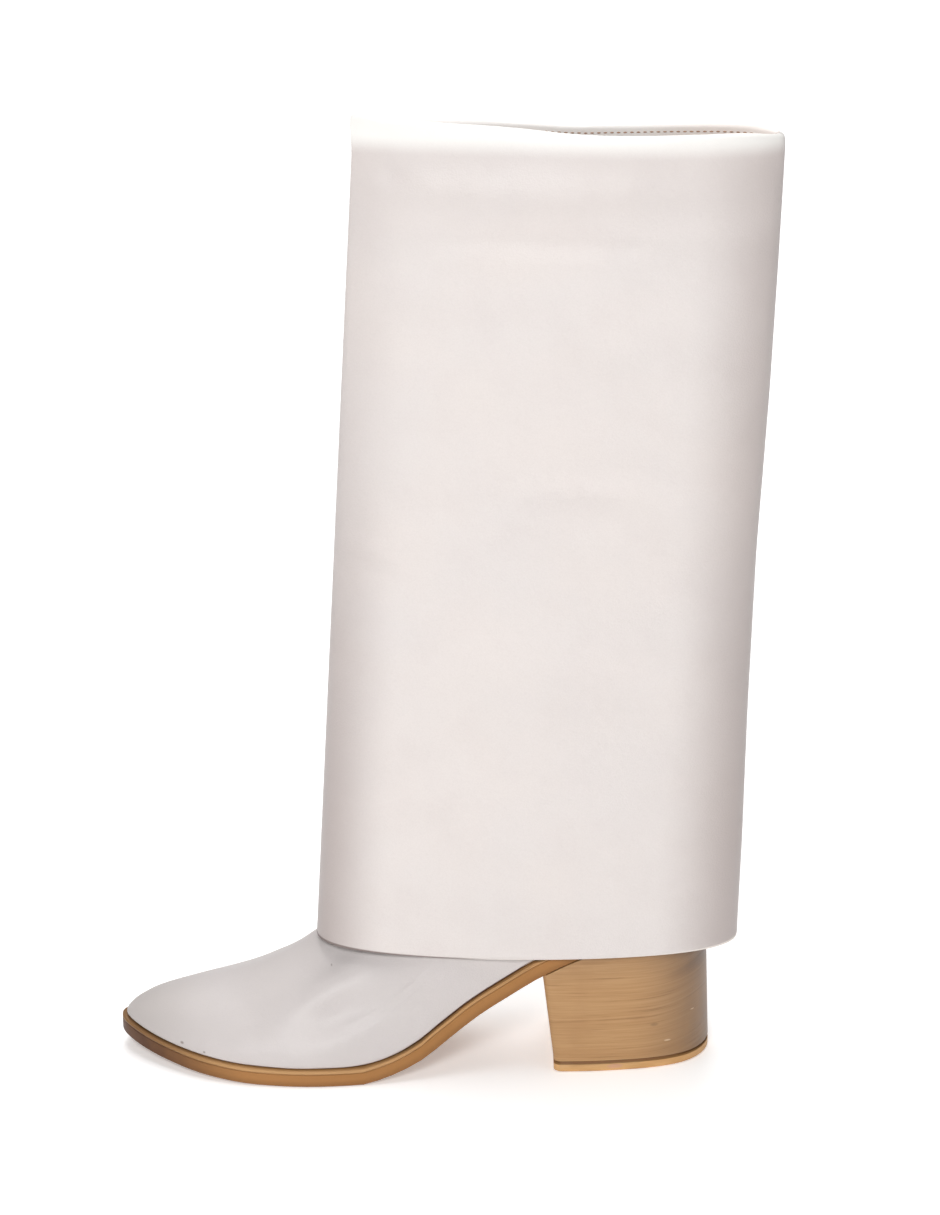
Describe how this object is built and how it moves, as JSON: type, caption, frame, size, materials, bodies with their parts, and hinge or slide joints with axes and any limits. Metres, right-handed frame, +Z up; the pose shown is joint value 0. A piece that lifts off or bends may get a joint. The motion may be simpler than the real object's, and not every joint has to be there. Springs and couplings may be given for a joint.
{
  "type": "fold-over block-heel boot",
  "caption": "Tall leather boot with a pointed almond toe, a wide fold-over cuff that hides the leg, a tan sole and a stacked block heel.",
  "frame": {"origin": "on the floor, at the middle of the heel's tread face", "axes": "+Z up along the leg, toe to -X, outer side of the foot to -Y"},
  "size_m": [0.2801, 0.084, 0.4146],
  "materials": {
    "sole": "tan moulded sole with a smooth painted edge, satin",
    "heel": "tan block printed and scored as stacked layers, fine level lines, satin lacquer",
    "top_piece": "tan hard rubber tread piece, matt below",
    "insole": "pale beige lining leather",
    "upper_leather": "smooth off-white nappa-like leather, soft sheen",
    "cuff_leather": "smooth off-white nappa-like leather, soft sheen, raw cut hem"
  },
  "bodies": {
    "root": {"outsole": "sole", "heel_block": "heel", "heel_top_piece": "top_piece", "insole": "insole", "upper": "upper_leather", "foldover_cuff": "cuff_leather"}
  },
  "joints": []
}
